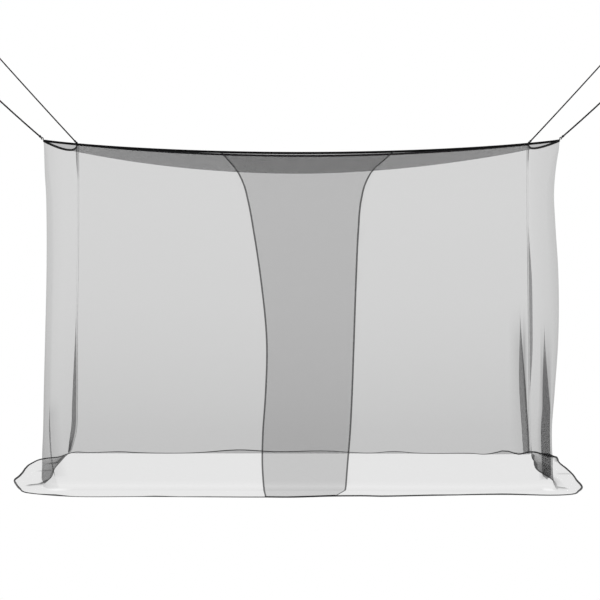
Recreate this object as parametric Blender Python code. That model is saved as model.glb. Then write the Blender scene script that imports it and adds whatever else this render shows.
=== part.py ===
"""Box mosquito net, hung by four cords from the corners of its bound, sagging roof.

Metres, +Z up. The front, with its two overlapping flaps, faces -Y. The shapes are worked out
about the middle of the roof, and at the end everything is set so that the origin lies on the
floor, at the middle of the cloth's outline.
"""

import math

import bmesh
import bpy
import numpy as np
from mathutils import Matrix, Vector

# ------------------------------------------------------------------ driving dimensions
ROOF_LENGTH = 1.98  # corner to corner along X
ROOF_DEPTH = 0.81  # corner to corner along Y
CORNER_HEIGHT = 1.360  # floor to the middle of the binding, at the four corners
NET_THICK = 0.002
GAP = 0.0003  # left between two pieces that touch
SEW_GAP = 0.0006  # left between the binding and the cloth sewn into it

# How far the roof's edges hang below its corners, and how far its short edges bow inwards
FRONT_SAG, BACK_SAG = 0.048, 0.039
FRONT_FULL, BACK_FULL = 0.85, 1.0  # below 1 the edge drops sooner after its corners
LEFT_SAG, RIGHT_SAG = 0.021, 0.014
SIDE_BOW = 0.022
# The back cords pull their corners up a little, and the cloth with them close to the corners
BACK_RISE, BACK_RISE_KEPT = 0.011, 10
# The roof's own belly below its edges, and how full it is towards each end
BELLY = 0.061
BELLY_LEFT, BELLY_RIGHT = 2.3, 1.8

TAPE_THICK, TAPE_HEIGHT = 0.004, 0.0095
TAPE_CORNER = 0.008  # radius of the binding's middle line at a corner

# The wall at several heights: where its corners stand, the two flaps' free edges, the distance
# from the inner flap to the outer one, and the radii of the upright front corners.
SECTIONS = (
    # height, front, back, f_left, b_left, b_right, f_right, inner_edge, outer_edge, flap_gap, r_left, r_right
    (1.360, -0.405, 0.405, -0.990, -0.990, 0.990, 0.990, 0.348, -0.303, 0.0028, 0.008, 0.008),
    (1.330, -0.404, 0.405, -0.990, -0.990, 0.990, 0.989, 0.316, -0.277, 0.0030, 0.014, 0.012),
    (1.300, -0.403, 0.404, -0.989, -0.990, 0.990, 0.985, 0.282, -0.252, 0.0034, 0.022, 0.018),
    (1.240, -0.402, 0.403, -0.988, -0.990, 0.991, 0.979, 0.247, -0.221, 0.0040, 0.032, 0.026),
    (1.170, -0.401, 0.402, -0.986, -0.991, 0.991, 0.976, 0.230, -0.203, 0.0046, 0.040, 0.032),
    (1.050, -0.400, 0.401, -0.986, -0.992, 0.993, 0.983, 0.220, -0.182, 0.0056, 0.044, 0.036),
    (0.860, -0.400, 0.399, -0.988, -0.995, 0.997, 0.997, 0.212, -0.155, 0.0070, 0.045, 0.036),
    (0.600, -0.400, 0.397, -0.997, -1.002, 1.003, 0.999, 0.204, -0.132, 0.0084, 0.045, 0.026),
    (0.380, -0.400, 0.395, -1.008, -1.004, 1.006, 0.985, 0.197, -0.138, 0.0094, 0.050, 0.014),
    (0.230, -0.400, 0.393, -1.018, -1.006, 1.008, 0.976, 0.190, -0.148, 0.0100, 0.058, 0.010),
    (0.100, -0.400, 0.391, -1.030, -1.012, 1.011, 0.985, 0.180, -0.150, 0.0100, 0.085, 0.010),
    (0.000, -0.400, 0.388, -1.034, -1.038, 1.007, 1.008, 0.173, -0.144, 0.0100, 0.120, 0.022),
)
BACK_RADIUS = 0.008  # of the upright back corners

# Dents that the wall takes towards the floor: each moves what stands round a place
DENTS = (
    # x, y, reach, move_x, move_y, height
    (-1.030, -0.165, 0.12, 0.018, 0.000, 0.16),
    (1.000, 0.030, 0.17, -0.034, 0.000, 0.20),
    (1.005, 0.320, 0.06, -0.010, 0.000, 0.12),
    (1.000, -0.400, 0.12, -0.014, 0.030, 0.14),
)

# The hem on the floor. "along" counts the panels passed on the way round from the inner flap's
# free edge: 0 to 1 is the inner flap, 1 to 2 the left side, 2 to 3 the back, 3 to 4 the right
# side and 4 to 5 the outer flap.
HEM = (
    # along, x, y
    (0.00, 0.131, -0.514),
    (0.10, 0.020, -0.530),
    (0.55, -0.580, -0.530),
    (0.85, -0.900, -0.526),
    (1.00, -1.056, -0.464),
    (1.16, -1.128, -0.328),
    (1.27, -1.160, -0.222),
    (1.54, -1.170, 0.025),
    (1.74, -1.160, 0.180),
    (1.88, -1.105, 0.290),
    (2.00, -1.035, 0.412),
    (2.06, -0.940, 0.412),
    (2.20, -0.640, 0.412),
    (2.36, -0.294, 0.460),
    (2.55, 0.100, 0.450),
    (2.72, 0.460, 0.418),
    (2.88, 0.780, 0.412),
    (2.954, 0.915, 0.462),
    (3.00, 1.012, 0.435),
    (3.12, 1.088, 0.330),
    (3.30, 1.112, 0.125),
    (3.55, 1.122, -0.080),
    (3.82, 1.108, -0.350),
    (4.00, 1.056, -0.460),
    (4.08, 0.990, -0.492),
    (4.20, 0.790, -0.484),
    (4.40, 0.530, -0.502),
    (4.60, 0.300, -0.526),
    (4.75, 0.120, -0.534),
    (4.92, -0.050, -0.556),
    (5.00, -0.135, -0.552),
)
FOOT_RADIUS = 0.010  # of the bend where the wall meets the floor

# The standing folds. A pleat lays the cloth over itself, and a fin pinches it out of a corner.
# A pleat stands on a panel at an x that may drift from its top to its foot, and a fin stands at
# a share of a corner. "turn" is the fin's direction in degrees from +X.
FOLDS = (
    # name, form, on, top_place, foot_place, width, turn, begins, full, still_full, ends
    ("front_left", "fin", 0, 0.25, 0.25, 0.012, 245, 0.40, 0.22, 0.08, 0.034),
    ("back_left_top", "fin", 1, 0.50, 0.50, 0.009, 175, 1.50, 1.40, 1.34, 1.160),
    ("back_left", "fin", 1, 0.50, 0.50, 0.020, 180, 0.76, 0.10, 0.05, 0.006),
    ("back_right_top", "fin", 2, 0.50, 0.50, 0.006, 5, 1.50, 1.40, 1.34, 1.240),
    ("back_right_fin", "fin", 2, 0.50, 0.50, 0.016, 0, 1.10, 0.72, 0.50, 0.180),
    ("back_right_pleat", "pleat", 2, 0.966, 0.990, 0.028, 0, 0.74, 0.26, 0.10, 0.006),
    ("front_right", "pleat", 4, 0.939, 0.960, 0.033, 0, 0.70, 0.22, 0.12, 0.008),
)
PLEAT_LAYER = 0.0055  # between the middles of a pleat's layers
PLEAT_SPREAD = 0.029  # the width that a pleat's cloth takes where it lies open
PLEAT_TIP = 0.0017  # how far the middle layer tips over where a pleat begins
FIN_LAYER = 0.006
FIN_SPREAD = 0.010
# A pleat and a fin in plan: along the wall in widths, and out of it in layers or in depths
PLEAT_SHAPE = (
    # along, out
    (-0.50, -1.0),
    (0.42, -1.0),
    (0.50, -0.5),
    (0.42, 0.0),
    (-0.42, 0.0),
    (-0.50, 0.5),
    (-0.42, 1.0),
    (0.50, 1.0),
)
FIN_SHAPE = (
    # along, out; its first and last columns stay on the corner
    (0.0, 0.00),
    (-0.5, 0.25),
    (-0.5, 0.80),
    (0.0, 1.00),
    (0.5, 0.80),
    (0.5, 0.25),
    (0.0, 0.00),
)

WALL_HEIGHTS = (
    (1.360, 1.325, 1.290, 1.230, 1.140, 1.000, 0.830, 0.660, 0.600, 0.580, 0.555, 0.450)
    + (0.340, 0.220, 0.120, 0.080, 0.055, 0.042, 0.030)
)
FLOOR_SHARES = (0.55, 1.00)  # rows of cloth on the floor, from the bend to the hem
LONG_COLUMNS = (0.0, 0.03, 0.11, 0.21, 0.31, 0.41, 0.51, 0.61, 0.71, 0.81, 0.91, 1.0)
SIDE_COLUMNS = (0.10, 0.23, 0.36, 0.50, 0.64, 0.77, 0.90)
CORNER_ROOM = 0.04  # share of a panel taken by half of each corner it ends at
PLEAT_ROOM = 0.02  # share of a panel kept free of other columns beside a pleat's middle
LIFT = NET_THICK + 2 * GAP  # of the outer flap where it lies on the inner one
LIFT_STARTS, LIFT_FULL = 4.58, 4.66

# Cords: taut, running up and out of each corner
CORD_DIAMETER = 0.0065
CORD_RUN = Vector((1.0, 0.74, 1.0)).normalized()
CORD_LENGTHS = {"front_left": 0.270, "front_right": 0.260, "back_left": 0.690, "back_right": 0.630}
CORD_SAG = 0.002
CORD_POINTS = 16
LOOP_RADIUS, LOOP_BAR = 0.0045, 0.0015  # middle of the corner's tape loop, and half its thickness
KNOT_RADIUS = 0.0075
EYE_RADIUS = 0.014
CORNERS = {
    "front_left": (-1, -1),
    "front_right": (1, -1),
    "back_left": (-1, 1),
    "back_right": (1, 1),
}

HALF_X, HALF_Y = ROOF_LENGTH / 2, ROOF_DEPTH / 2


# ------------------------------------------------------------------ small tools
def smooth(value):
    """0 to 1 with a soft start and a soft end."""
    value = min(max(value, 0.0), 1.0)
    return value * value * (3 - 2 * value)


def curve_through(rows, at):
    """The columns after the first, read at a value of the first from a smooth curve."""
    table = np.array(rows, float)
    if table[0, 0] > table[-1, 0]:
        table = table[::-1]
    key, values = table[:, 0], table[:, 1:]
    slopes = np.gradient(values, key, axis=0)
    i = int(np.clip(np.searchsorted(key, at) - 1, 0, len(key) - 2))
    step = key[i + 1] - key[i]
    s = min(max((at - key[i]) / step, 0.0), 1.0)
    return (
        (2 * s**3 - 3 * s**2 + 1) * values[i]
        + (s**3 - 2 * s**2 + s) * step * slopes[i]
        + (3 * s**2 - 2 * s**3) * values[i + 1]
        + (s**3 - s**2) * step * slopes[i + 1]
    )


def rim_height(x, y):
    """Height of the binding's middle line, and of the roof before its belly, over a point."""
    back = (y / HALF_Y + 1) / 2
    right = (x / HALF_X + 1) / 2
    long_sag = FRONT_SAG + (BACK_SAG - FRONT_SAG) * back
    long_full = FRONT_FULL + (BACK_FULL - FRONT_FULL) * back
    short_sag = LEFT_SAG + (RIGHT_SAG - LEFT_SAG) * right
    return (
        CORNER_HEIGHT
        + BACK_RISE * min(back, 1) ** BACK_RISE_KEPT * min(abs(x / HALF_X), 1) ** 2
        - long_sag * max(1 - (x / HALF_X) ** 2, 0) ** long_full
        - short_sag * max(1 - (y / HALF_Y) ** 2, 0)
    )


def colour_material(name, colour, roughness, alpha=1.0):
    material = bpy.data.materials.new(name)
    material.use_nodes = True
    shader = material.node_tree.nodes["Principled BSDF"]
    shader.inputs["Base Color"].default_value = (*colour, 1)
    shader.inputs["Roughness"].default_value = roughness
    shader.inputs["Metallic"].default_value = 0.0
    shader.inputs["Alpha"].default_value = alpha
    material.diffuse_color = (*colour, alpha)
    return material


def new_object(name, mesh, material, parent):
    thing = bpy.data.objects.new(name, mesh)
    thing.data.materials.append(material)
    bpy.context.scene.collection.objects.link(thing)
    thing.parent = parent
    return thing


def sheet_mesh(name, rows):
    """One face for each cell of a grid of points."""
    mesh = bpy.data.meshes.new(name)
    bm = bmesh.new()
    grid = [[bm.verts.new(point) for point in row] for row in rows]
    for upper, lower in zip(grid, grid[1:]):
        for k in range(len(upper) - 1):
            bm.faces.new((upper[k], lower[k], lower[k + 1], upper[k + 1]))
    bm.normal_update()
    bm.to_mesh(mesh)
    bm.free()
    mesh.shade_smooth()
    return mesh


def thicken(thing):
    """Gives a sheet its thickness, half to each side."""
    solid = thing.modifiers.new("thickness", "SOLIDIFY")
    solid.thickness = NET_THICK
    solid.offset = 0.0


# ------------------------------------------------------------------ the wall's plan
def fold_openness(fold, height):
    """How far a fold is closed at a height: 0 where the cloth lies open, 1 where it is full."""
    begins, full, still_full, ends = fold[7:]
    return smooth((begins - height) / (begins - full)) * smooth((height - ends) / (still_full - ends))


def fold_place(fold, height):
    """Where a fold stands at a height: an x for a pleat, a share of the corner for a fin."""
    top, foot, begins = fold[3], fold[4], fold[7]
    return foot + (top - foot) * (1 - (1 - min(height / begins, 1)) ** 2)


def plan_of(height):
    """The wall's five panels at a height as (start, end), each without its rounded corners, and
    the centre and radius of each corner."""
    values = curve_through(SECTIONS, height)
    front, back, fl, bl, br, fr, inner, outer, gap, left, right = values
    near, far = front + gap / 2, front - gap / 2
    panels = (
        ((inner, near), (fl + left, near)),
        ((fl, near + left), (bl, back - BACK_RADIUS)),
        ((bl + BACK_RADIUS, back), (br - BACK_RADIUS, back)),
        ((br, back - BACK_RADIUS), (fr, far + right)),
        ((fr - right, far), (outer, far)),
    )
    corners = (
        ((fl + left, near + left), left),
        ((bl + BACK_RADIUS, back - BACK_RADIUS), BACK_RADIUS),
        ((br - BACK_RADIUS, back - BACK_RADIUS), BACK_RADIUS),
        ((fr - right, far + right), right),
    )
    return panels, corners


def panel_share(along):
    """A column's share of the way along its panel."""
    index = min(int(along), 4)
    before = 0 if index == 0 else CORNER_ROOM
    after = 0 if index == 4 else CORNER_ROOM
    return index, min(max((along - index - before) / (1 - before - after), 0.0), 1.0)


def panel_point(height, panels, index, share):
    """A point of a panel's middle line in plan, with the outward direction there."""
    start, end = (Vector((*p, 0)) for p in panels[index])
    ahead = (end - start).normalized()
    out = Vector((-ahead.y, ahead.x, 0))
    point = start.lerp(end, share)
    if index in (1, 3):  # the short sides bow inwards, most at the top
        point -= out * SIDE_BOW * 4 * share * (1 - share) * smooth(height / CORNER_HEIGHT) ** 2
    return point, out


def corner_point(corners, index, share):
    """A point of an upright rounded corner in plan, with the outward direction there."""
    (x, y), radius = corners[index]
    angle = math.radians(-90 - 90 * index - 90 * share)
    out = Vector((math.cos(angle), math.sin(angle), 0))
    return Vector((x, y, 0)) + out * radius, out


def columns():
    """The wall's columns in order, as (along, kind, detail)."""
    made = []
    for index in range(5):
        room_before = 0 if index == 0 else CORNER_ROOM
        room_after = 0 if index == 4 else CORNER_ROOM
        straight = 1 - room_before - room_after
        shares = SIDE_COLUMNS if index in (1, 3) else LONG_COLUMNS
        pleats = [fold for fold in FOLDS if fold[1] == "pleat" and fold[2] == index]
        for pleat in pleats:
            (start, _), (end, _) = plan_of(pleat[8])[0][index]
            middle = (pleat[3] - start) / (end - start)
            shares = [s for s in shares if abs(s - middle) > PLEAT_ROOM]
            for k in range(len(PLEAT_SHAPE)):
                place = middle + (k / (len(PLEAT_SHAPE) - 1) - 0.5) * PLEAT_SPREAD / abs(end - start)
                made.append((index + room_before + place * straight, "pleat", (pleat, k)))
        for share in shares:
            at_corner = (share == 0.0 and index > 0) or (share == 1.0 and index < 4)
            if not at_corner:
                made.append((index + room_before + share * straight, "panel", None))
    for index in range(4):
        fins = [fold for fold in FOLDS if fold[1] == "fin" and fold[2] == index]
        shares = (0.0, 1.0) if fins else (0.0, 1 / 3, 2 / 3, 1.0)
        if fins and fins[0][3] != 0.5:
            shares = (0.0, 0.5, 0.75, 1.0)
        for share in shares:
            made.append((index + 1 + (2 * share - 1) * CORNER_ROOM, "corner", (index, share)))
        for k in range(len(FIN_SHAPE) if fins else 0):
            share = fins[0][3] + (k / (len(FIN_SHAPE) - 1) - 0.5) * 0.4
            made.append((index + 1 + (2 * share - 1) * CORNER_ROOM, "fin", (fins, k)))
    return sorted(made, key=lambda column: column[0])


def fin_point(corners, fins, k, height):
    """Where a fin's column stands in plan, on the corner or pinched out of it."""
    fold = max(fins, key=lambda each: fold_openness(each, height))
    shut = fold_openness(fold, height)
    index, place = fold[2], fold_place(fold, height)
    radius = corners[index][1]
    spread = min(FIN_SPREAD / (radius * math.pi / 2), 1.8 * min(place, 1 - place))
    flat = corner_point(corners, index, place + (k / (len(FIN_SHAPE) - 1) - 0.5) * spread)[0]
    if FIN_SHAPE[k][1] == 0:
        return flat
    centre = corner_point(corners, index, place)[0]
    turn = math.radians(fold[6])
    out = Vector((math.cos(turn), math.sin(turn), 0))
    ahead = Vector((out.y, -out.x, 0))
    along, depth = FIN_SHAPE[k]
    shaped = centre + ahead * along * FIN_LAYER + out * depth * fold[5]
    return flat.lerp(shaped, shut)


def pleat_point(height, panels, fold, k):
    """Where a pleat's column stands in plan, laid open or closed."""
    shut = fold_openness(fold, height)
    index = fold[2]
    (start, _), (end, _) = panels[index]
    room = (max(PLEAT_SPREAD, fold[5]) / 2 + 0.002) / abs(end - start)
    share = (fold_place(fold, height) - start) / (end - start)
    centre, out = panel_point(height, panels, index, min(max(share, room), 1 - room))
    ahead = Vector((out.y, -out.x, 0))
    along, layer = PLEAT_SHAPE[k]
    open_way = (k / (len(PLEAT_SHAPE) - 1) - 0.5) * PLEAT_SPREAD
    way = (1 - shut) * open_way + shut * along * fold[5]
    rise = layer * PLEAT_LAYER * smooth(shut / 0.2)
    if layer == 0:  # the middle layer tips over as the pleat begins
        rise -= math.copysign(PLEAT_TIP, along) * smooth(shut / 0.1) * smooth((0.35 - shut) / 0.25)
    return centre + ahead * way + out * rise


def column_point(column, height):
    """Where a column stands in plan at a height."""
    along, kind, detail = column
    panels, corners = plan_of(height)
    if kind == "panel":
        point = panel_point(height, panels, *panel_share(along))[0]
    elif kind == "corner":
        point = corner_point(corners, *detail)[0]
    elif kind == "fin":
        point = fin_point(corners, *detail, height)
    else:
        point = pleat_point(height, panels, *detail)
    moved = point.copy()
    for x, y, reach, move_x, move_y, below in DENTS:
        near = math.exp(-((point.x - x) ** 2 + (point.y - y) ** 2) / reach**2)
        moved += Vector((move_x, move_y, 0)) * near * smooth(1 - height / below)
    return moved


def floor_lift(along):
    """How high a column's floor part lies: the outer flap lies on the inner one."""
    return LIFT * smooth((along - LIFT_STARTS) / (LIFT_FULL - LIFT_STARTS))


def wall_rows():
    """The middle of the wall's cloth as rows of points, from the binding down to the floor and
    out to the hem."""
    strip = columns()
    tops = [column_point(column, CORNER_HEIGHT) for column in strip]
    heights = [rim_height(p.x, p.y) - TAPE_HEIGHT / 2 - SEW_GAP for p in tops]
    rows = []
    for level in WALL_HEIGHTS:
        share = level / CORNER_HEIGHT
        row = []
        for column, top in zip(strip, heights):
            point = column_point(column, level)
            row.append((point.x, point.y, top * share))
        rows.append(row)
    feet, runs, lows = [], [], []
    for column in strip:
        foot = column_point(column, 0.0)
        hem = Vector((*curve_through(HEM, column[0]), 0))
        feet.append(foot)
        runs.append(hem - foot)
        lows.append(NET_THICK / 2 + floor_lift(column[0]))
    for turned in (0, 45, 90):
        angle = math.radians(turned)
        row = []
        for foot, run, low in zip(feet, runs, lows):
            out = foot + run.normalized() * FOOT_RADIUS * (1 - math.cos(angle))
            row.append((out.x, out.y, low + FOOT_RADIUS * (1 - math.sin(angle))))
        rows.append(row)
    for share in FLOOR_SHARES:
        row = []
        for foot, run, low in zip(feet, runs, lows):
            out = foot + run.normalized() * (FOOT_RADIUS + share * (run.length - FOOT_RADIUS))
            row.append((out.x, out.y, low))
        rows.append(row)
    return rows


def make_wall(material, parent):
    wall = new_object("wall_net", sheet_mesh("wall_net", wall_rows()), material, parent)
    thicken(wall)
    return wall


# ------------------------------------------------------------------ the roof and its binding
ROOF_COLUMNS, ROOF_ROWS = 22, 8
ROOF_CLEAR = TAPE_THICK / 2 + 0.0007  # from the binding's middle line to the roof's edge


def make_roof(material, parent):
    rows = []
    for j in range(ROOF_ROWS + 1):
        across = 2 * j / ROOF_ROWS - 1
        row = []
        for i in range(ROOF_COLUMNS + 1):
            along = math.sin(math.pi / 2 * (2 * i / ROOF_COLUMNS - 1))
            reach = HALF_X - SIDE_BOW * (1 - across**2) - ROOF_CLEAR
            x = along * reach
            y = across * (HALF_Y - ROOF_CLEAR)
            full = BELLY_LEFT if along < 0 else BELLY_RIGHT
            belly = BELLY * (1 - abs(along) ** full) * (1 - across**2)
            corner = max(abs(along) + abs(across) - 1, 0) ** 12
            shrink = 1 - 0.004 * corner
            row.append((x * shrink, y * (1 - 0.010 * corner), rim_height(x, y) - belly))
        rows.append(row)
    roof = new_object("roof_net", sheet_mesh("roof_net", rows[::-1]), material, parent)
    thicken(roof)
    return roof


def rim_line():
    """The binding's middle line all the way round, as (point, outward direction)."""
    x, y, bend = HALF_X, HALF_Y, TAPE_CORNER
    edges = (
        ((x - bend, -y), (bend - x, -y)),
        ((-x, bend - y), (-x, y - bend)),
        ((bend - x, y), (x - bend, y)),
        ((x, y - bend), (x, bend - y)),
    )
    centres = ((bend - x, bend - y), (bend - x, y - bend), (x - bend, y - bend), (x - bend, bend - y))
    line = []
    for index, (start, end) in enumerate(edges):
        steps = 8 if index in (1, 3) else 16
        ahead = (Vector(end) - Vector(start)).normalized()
        out = Vector((-ahead.y, ahead.x, 0))
        for k in range(1, steps):
            share = k / steps
            point = Vector((*Vector(start).lerp(Vector(end), share), 0))
            if index in (1, 3):
                point -= out * SIDE_BOW * 4 * share * (1 - share)
            line.append((point, out))
        for k in range(4):
            angle = math.radians(-90 - 90 * index - 30 * k)
            out = Vector((math.cos(angle), math.sin(angle), 0))
            line.append((Vector((*centres[index], 0)) + out * bend, out))
    return line


def make_binding(material, parent):
    mesh = bpy.data.meshes.new("top_binding")
    bm = bmesh.new()
    rings = []
    for point, out in rim_line():
        z = rim_height(point.x, point.y)
        ring = []
        for side, rise in ((1, -1), (1, 1), (-1, 1), (-1, -1)):
            place = point + out * side * TAPE_THICK / 2
            ring.append(bm.verts.new((place.x, place.y, z + rise * TAPE_HEIGHT / 2)))
        rings.append(ring)
    for ring, following in zip(rings, rings[1:] + rings[:1]):
        for k in range(4):
            m = (k + 1) % 4
            bm.faces.new((ring[k], ring[m], following[m], following[k]))
    bmesh.ops.recalc_face_normals(bm, faces=bm.faces)
    bm.to_mesh(mesh)
    bm.free()
    return new_object("top_binding", mesh, material, parent)


# ------------------------------------------------------------------ loops and cords
def ring_mesh(name, radius, bar, around, section):
    """A closed ring in its XZ plane."""
    mesh = bpy.data.meshes.new(name)
    bm = bmesh.new()
    turns = []
    for i in range(around):
        angle = 2 * math.pi * i / around
        turn = []
        for k in range(section):
            part = 2 * math.pi * (k + 0.5) / section
            reach = radius + bar * math.cos(part)
            turn.append(bm.verts.new((reach * math.cos(angle), bar * math.sin(part), reach * math.sin(angle))))
        turns.append(turn)
    for turn, following in zip(turns, turns[1:] + turns[:1]):
        for k in range(section):
            m = (k + 1) % section
            bm.faces.new((turn[k], turn[m], following[m], following[k]))
    bmesh.ops.recalc_face_normals(bm, faces=bm.faces)
    bm.to_mesh(mesh)
    bm.free()
    mesh.shade_smooth()
    return mesh


def corner_frame(name):
    """The middle of a corner's tape loop, pulled from the binding's top edge by its cord, and the
    direction in which the cord runs."""
    side_x, side_y = CORNERS[name]
    run = Vector((side_x * CORD_RUN.x, side_y * CORD_RUN.y, CORD_RUN.z))
    level = Vector((run.x, run.y, 0)).normalized()
    edge = (TAPE_CORNER + TAPE_THICK / 2) * math.cos(math.radians(15))
    middle = Vector((side_x * (HALF_X - TAPE_CORNER), side_y * (HALF_Y - TAPE_CORNER), 0))
    middle += level * TAPE_CORNER
    middle.z = rim_height(middle.x, middle.y) + TAPE_HEIGHT / 2
    middle += level * (edge - TAPE_CORNER)
    return middle + run * (GAP + LOOP_RADIUS + LOOP_BAR), run


def make_loop(name, material, parent):
    middle, run = corner_frame(name)
    loop = new_object("loop_" + name, ring_mesh("loop", LOOP_RADIUS, LOOP_BAR, 14, 6), material, parent)
    loop.location = middle
    loop.rotation_euler = (0, 0, math.atan2(run.y, run.x))
    return loop


def cord_route(name):
    """The cord's points from its loop to its end loop, with a slight sag."""
    middle, run = corner_frame(name)
    start = middle + run * (LOOP_RADIUS + LOOP_BAR + GAP)
    length = CORD_LENGTHS[name]
    route = []
    for k in range(CORD_POINTS):
        share = k / (CORD_POINTS - 1)
        point = start + run * length * share
        point.z -= CORD_SAG * 4 * share * (1 - share)
        route.append(point)
    return route


def make_cord(name, material, parent):
    curve = bpy.data.curves.new("cord_" + name, "CURVE")
    curve.dimensions = "3D"
    curve.bevel_depth = CORD_DIAMETER / 2
    curve.bevel_resolution = 2
    curve.use_fill_caps = True
    spline = curve.splines.new("POLY")
    route = cord_route(name)
    spline.points.add(len(route) - 1)
    for point, place in zip(spline.points, route):
        point.co = (*place, 1)
    return new_object("cord_" + name, curve, material, parent)


def make_eye(name, material, parent):
    """The tied end of a cord: a knot and the loop that goes over a hook."""
    route = cord_route(name)
    run = (route[-1] - route[-2]).normalized()
    knot_middle = route[-1] + run * (GAP + KNOT_RADIUS)
    eye_middle = knot_middle + run * EYE_RADIUS
    level = math.atan2(run.y, run.x)

    eye = new_object("eye_" + name, ring_mesh("eye", EYE_RADIUS, CORD_DIAMETER / 2, 16, 6), material, parent)
    eye.location = eye_middle
    eye.rotation_euler = (0, 0, level)

    mesh = bpy.data.meshes.new("knot")
    bm = bmesh.new()
    bmesh.ops.create_uvsphere(bm, u_segments=8, v_segments=6, radius=KNOT_RADIUS)
    turned = run.to_track_quat("Z", "Y").to_matrix().to_4x4()
    bmesh.ops.transform(bm, matrix=Matrix.Translation(knot_middle) @ turned, verts=bm.verts)
    bm.to_mesh(mesh)
    bm.free()
    knot = new_object("knot_" + name, mesh, material, parent)
    knot.hide_render = True
    knot.display_type = "WIRE"

    joined = eye.modifiers.new("knot", "BOOLEAN")
    joined.operation = "UNION"
    joined.solver = "EXACT"
    joined.object = knot
    return eye


# ------------------------------------------------------------------ the whole net
def outline_middle(wall):
    """The middle of the cloth's outline in plan, from the wall as built."""
    bpy.context.view_layer.update()
    evaluated = wall.evaluated_get(bpy.context.evaluated_depsgraph_get())
    points = np.array([tuple(v.co) for v in evaluated.data.vertices])
    low, high = points.min(0), points.max(0)
    return (low[0] + high[0]) / 2, (low[1] + high[1]) / 2


def build():
    for thing in list(bpy.data.objects):
        bpy.data.objects.remove(thing, do_unlink=True)
    bpy.context.scene.unit_settings.system = "METRIC"

    net = colour_material("net", (0.012, 0.012, 0.013), 0.85, alpha=0.3)
    binding = colour_material("binding", (0.008, 0.008, 0.009), 0.7)
    cord = colour_material("cord", (0.010, 0.010, 0.011), 0.6)

    whole = bpy.data.objects.new("net_middle", None)
    bpy.context.scene.collection.objects.link(whole)
    wall = make_wall(net, whole)
    make_roof(net, whole)
    make_binding(binding, whole)
    for name in CORNERS:
        make_loop(name, binding, whole)
        make_cord(name, cord, whole)
        make_eye(name, cord, whole)

    middle_x, middle_y = outline_middle(wall)
    whole.location = (-middle_x, -middle_y, 0)
    bpy.context.view_layer.update()


build()
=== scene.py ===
"""Box mosquito net of black polyester netting, hung by four cords from the corners of its roof.

Metres, +Z up, front towards -Y, z = 0 on the floor. The tables below are written about the middle
of the roof, which is found from the solid model's binding.
"""

import math
from collections import namedtuple
from functools import lru_cache

import bpy
import numpy as np
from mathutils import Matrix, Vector


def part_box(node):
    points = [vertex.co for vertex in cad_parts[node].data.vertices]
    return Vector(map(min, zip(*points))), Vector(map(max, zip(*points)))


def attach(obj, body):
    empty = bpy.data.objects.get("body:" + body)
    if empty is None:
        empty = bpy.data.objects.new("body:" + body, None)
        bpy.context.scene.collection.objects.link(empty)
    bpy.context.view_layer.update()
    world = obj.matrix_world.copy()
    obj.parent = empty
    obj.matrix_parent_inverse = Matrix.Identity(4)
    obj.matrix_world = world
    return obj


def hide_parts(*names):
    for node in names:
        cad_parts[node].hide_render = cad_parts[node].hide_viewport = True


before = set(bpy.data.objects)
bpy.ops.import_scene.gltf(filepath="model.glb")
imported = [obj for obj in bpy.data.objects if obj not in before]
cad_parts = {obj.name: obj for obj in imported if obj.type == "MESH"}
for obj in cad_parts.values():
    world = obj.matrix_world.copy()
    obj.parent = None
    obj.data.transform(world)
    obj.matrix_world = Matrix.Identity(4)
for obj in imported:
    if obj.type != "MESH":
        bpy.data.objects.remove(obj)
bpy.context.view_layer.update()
scene = bpy.context.scene

# ---------------------------------------------------------------- camera
# The picture is taken from in front, a little right of the middle and just below the roof, with
# a long lens that is tilted slightly down. The four cords leave the picture near its top.
binding_low, binding_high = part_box("top_binding")
MIDDLE = Vector(((binding_low.x + binding_high.x) / 2, (binding_low.y + binding_high.y) / 2, 0.0))
camera_data = bpy.data.cameras.new("camera")
camera_data.lens = 86.77
camera_data.sensor_width = 36.0
camera = bpy.data.objects.new("camera", camera_data)
camera.location = MIDDLE + Vector((0.0422, -5.9780, 1.1624))
camera.rotation_euler = (math.radians(90 - 4.266), 0.0, math.radians(0.477))
scene.collection.objects.link(camera)
scene.camera = camera

# ---------------------------------------------------------------- cords
# Each corner is pulled up and out by a thin black cord of three laid strands. It is tied into the
# corner's tape loop, and its far end is tied into a small eye that drops over a hook.
ROOF_LENGTH, ROOF_DEPTH = 1.98, 0.81
HALF_X, HALF_Y = ROOF_LENGTH / 2, ROOF_DEPTH / 2
CORNER_HEIGHT = 1.360
TAPE_THICK, TAPE_HEIGHT, TAPE_CORNER = 0.004, 0.0095, 0.008
GAP = 0.0003  # between pieces that are sewn or tied together
CORNERS = {"front_left": (-1, -1), "front_right": (1, -1), "back_left": (-1, 1), "back_right": (1, 1)}
CORD_DIAMETER = 0.0065
CORD_RUN = Vector((1.0, 0.74, 1.0)).normalized()
CORD_LENGTHS = {"front_left": 0.270, "front_right": 0.260, "back_left": 0.690, "back_right": 0.630}
CORD_SAG, CORD_POINTS = 0.002, 16
BEND_STEP = 30  # degrees between the flats of the solid binding's corners
LOOP_RADIUS, LOOP_BAR = 0.0045, 0.0015
KNOT_RADIUS, EYE_RADIUS = 0.0075, 0.014
STRANDS, STRAND_DEPTH, LAY_LENGTH = 3, 0.10, 0.0150  # lobes round the cord, and one full twist
CORD_AROUND, CORD_STEP = 12, 0.0020
WRAP_RADIUS, WRAP_TURNS, WRAP_LENGTH, WRAP_POINTS = 0.0047, 3, 0.0144, 10
TIE_RADIUS, TIE_RISE, TIE_TURNS, TIE_LENGTH, TIE_STEP = 0.0012, 0.0050, 2, 0.0052, 0.0010
TIE_HALF, TIE_AHEAD, TIE_BACK = 0.0022, 0.0020, 0.0016  # where the tie goes through its loop
TIE_WRAP = 0.80  # radius of the tie's turns, as a share of the eye's
EYE_POINTS = 40


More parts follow.
